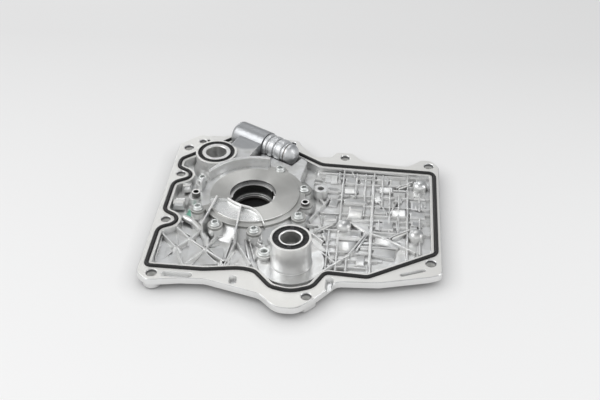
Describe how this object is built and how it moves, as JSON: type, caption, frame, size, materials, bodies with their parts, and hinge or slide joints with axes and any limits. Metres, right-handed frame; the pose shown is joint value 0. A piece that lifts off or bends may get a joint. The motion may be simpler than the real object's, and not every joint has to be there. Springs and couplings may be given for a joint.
{
  "type": "engine oil pump",
  "caption": "Timing-side cover casting with a crank-driven internal gear oil pump, ported bosses with face seals, a relief valve barrel and a perimeter gasket.",
  "frame": {"origin": "on the crank axis, in the plane of the sealing face", "axes": "+Z out of the sealing face along the crank axis; +Y towards the relief valve barrel; +X towards the ribbed wing"},
  "size_m": [0.2688, 0.2728, 0.0394],
  "materials": {
    "cast_aluminium": "sand-blasted die casting",
    "machined_plate": "turned and machined face",
    "black_elastomer": "moulded, matte",
    "zinc_steel": "bright zinc plated",
    "sintered_steel": "sintered, ground faces",
    "dark_rubber": "moulded, satin",
    "spring_steel": "drawn wire",
    "copper": "soft, flat"
  },
  "bodies": {
    "cover": {"cover_casting": "cast_aluminium", "perimeter_gasket": "black_elastomer", "pump_cover_plate": "machined_plate", "cover_screws": "zinc_steel", "gallery_plug": "zinc_steel", "dowel_sleeves": "sintered_steel", "crank_seal_case": "zinc_steel", "crank_seal_lip": "dark_rubber", "crank_seal_spring": "spring_steel", "outlet_liner": "zinc_steel", "outlet_seal": "black_elastomer", "inlet_liner": "zinc_steel", "inlet_seal": "black_elastomer", "relief_spring": "spring_steel", "relief_sleeve": "zinc_steel", "relief_cap": "zinc_steel", "relief_washer": "copper"},
    "inner_rotor": {"inner_rotor": "sintered_steel"},
    "outer_rotor": {"outer_rotor": "sintered_steel"},
    "relief_piston": {"relief_piston": "zinc_steel"}
  },
  "joints": [
    {"name": "inner_rotor_spin", "type": "hinge", "parent": "cover", "child": "inner_rotor", "pos_m": [0, 0, -0.001], "axis": [0, 0, 1], "continuous": true},
    {"name": "outer_rotor_spin", "type": "hinge", "parent": "cover", "child": "outer_rotor", "pos_m": [0.00232, 0.00157, -0.001], "axis": [0, 0, 1], "continuous": true},
    {"name": "relief_piston_slide", "type": "slide", "parent": "cover", "child": "relief_piston", "axis": [0.859, -0.512, 0], "range_m": [0, 0.008], "stiffness_N_per_m": 1500, "springref_m": -0.008, "deforming": ["relief_spring"]}
  ],
  "couplings": [
    {"joint": "outer_rotor_spin", "follows": "inner_rotor_spin", "ratio": 0.88889}
  ]
}
